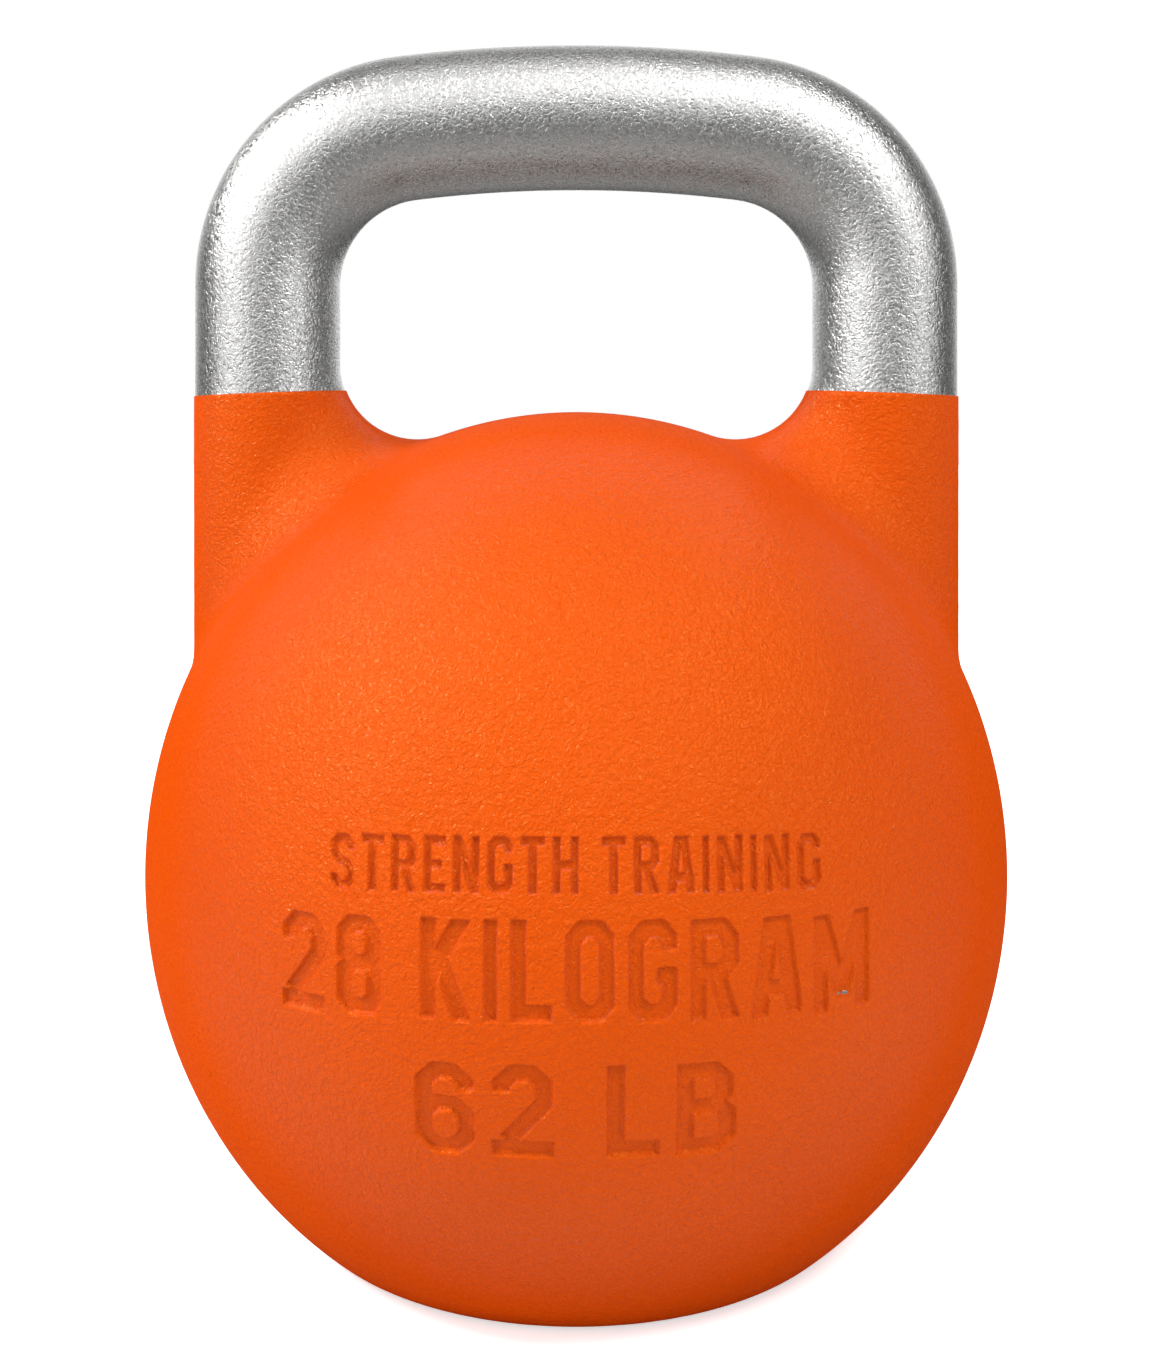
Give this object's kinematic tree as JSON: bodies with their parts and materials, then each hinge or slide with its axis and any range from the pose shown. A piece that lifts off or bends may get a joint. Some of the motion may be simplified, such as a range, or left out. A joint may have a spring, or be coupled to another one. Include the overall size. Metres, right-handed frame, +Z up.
{
  "type": "kettlebell",
  "caption": "Competition-pattern kettlebell: a round orange ball with a flat base and a wide bare steel loop handle, with sunk weight markings on the front.",
  "frame": {"origin": "centre of the flat base", "axes": "+Z up through the middle of the ball and handle, X along the handle's width, the lettered front faces -Y"},
  "size_m": [0.205, 0.205, 0.28],
  "materials": {
    "cast_steel": "cast, ground flat on the base",
    "bar_steel": "bare, fine pebbled, tumbled",
    "weld_steel": "ground flush",
    "orange_coat": "satin baked coat over fine orange-peel casting texture",
    "plug_steel": "turned, oiled",
    "seal_rubber": "matt",
    "shot_steel": "plain",
    "resin": "cast"
  },
  "bodies": {
    "root": {"ball_casting": "cast_steel", "handle_bar": "bar_steel", "left_seam_weld": "weld_steel", "right_seam_weld": "weld_steel", "body_coat": "orange_coat", "core_plug": "plug_steel", "plug_seal": "seal_rubber", "trim_shot": "shot_steel", "shot_potting": "resin"}
  },
  "joints": []
}
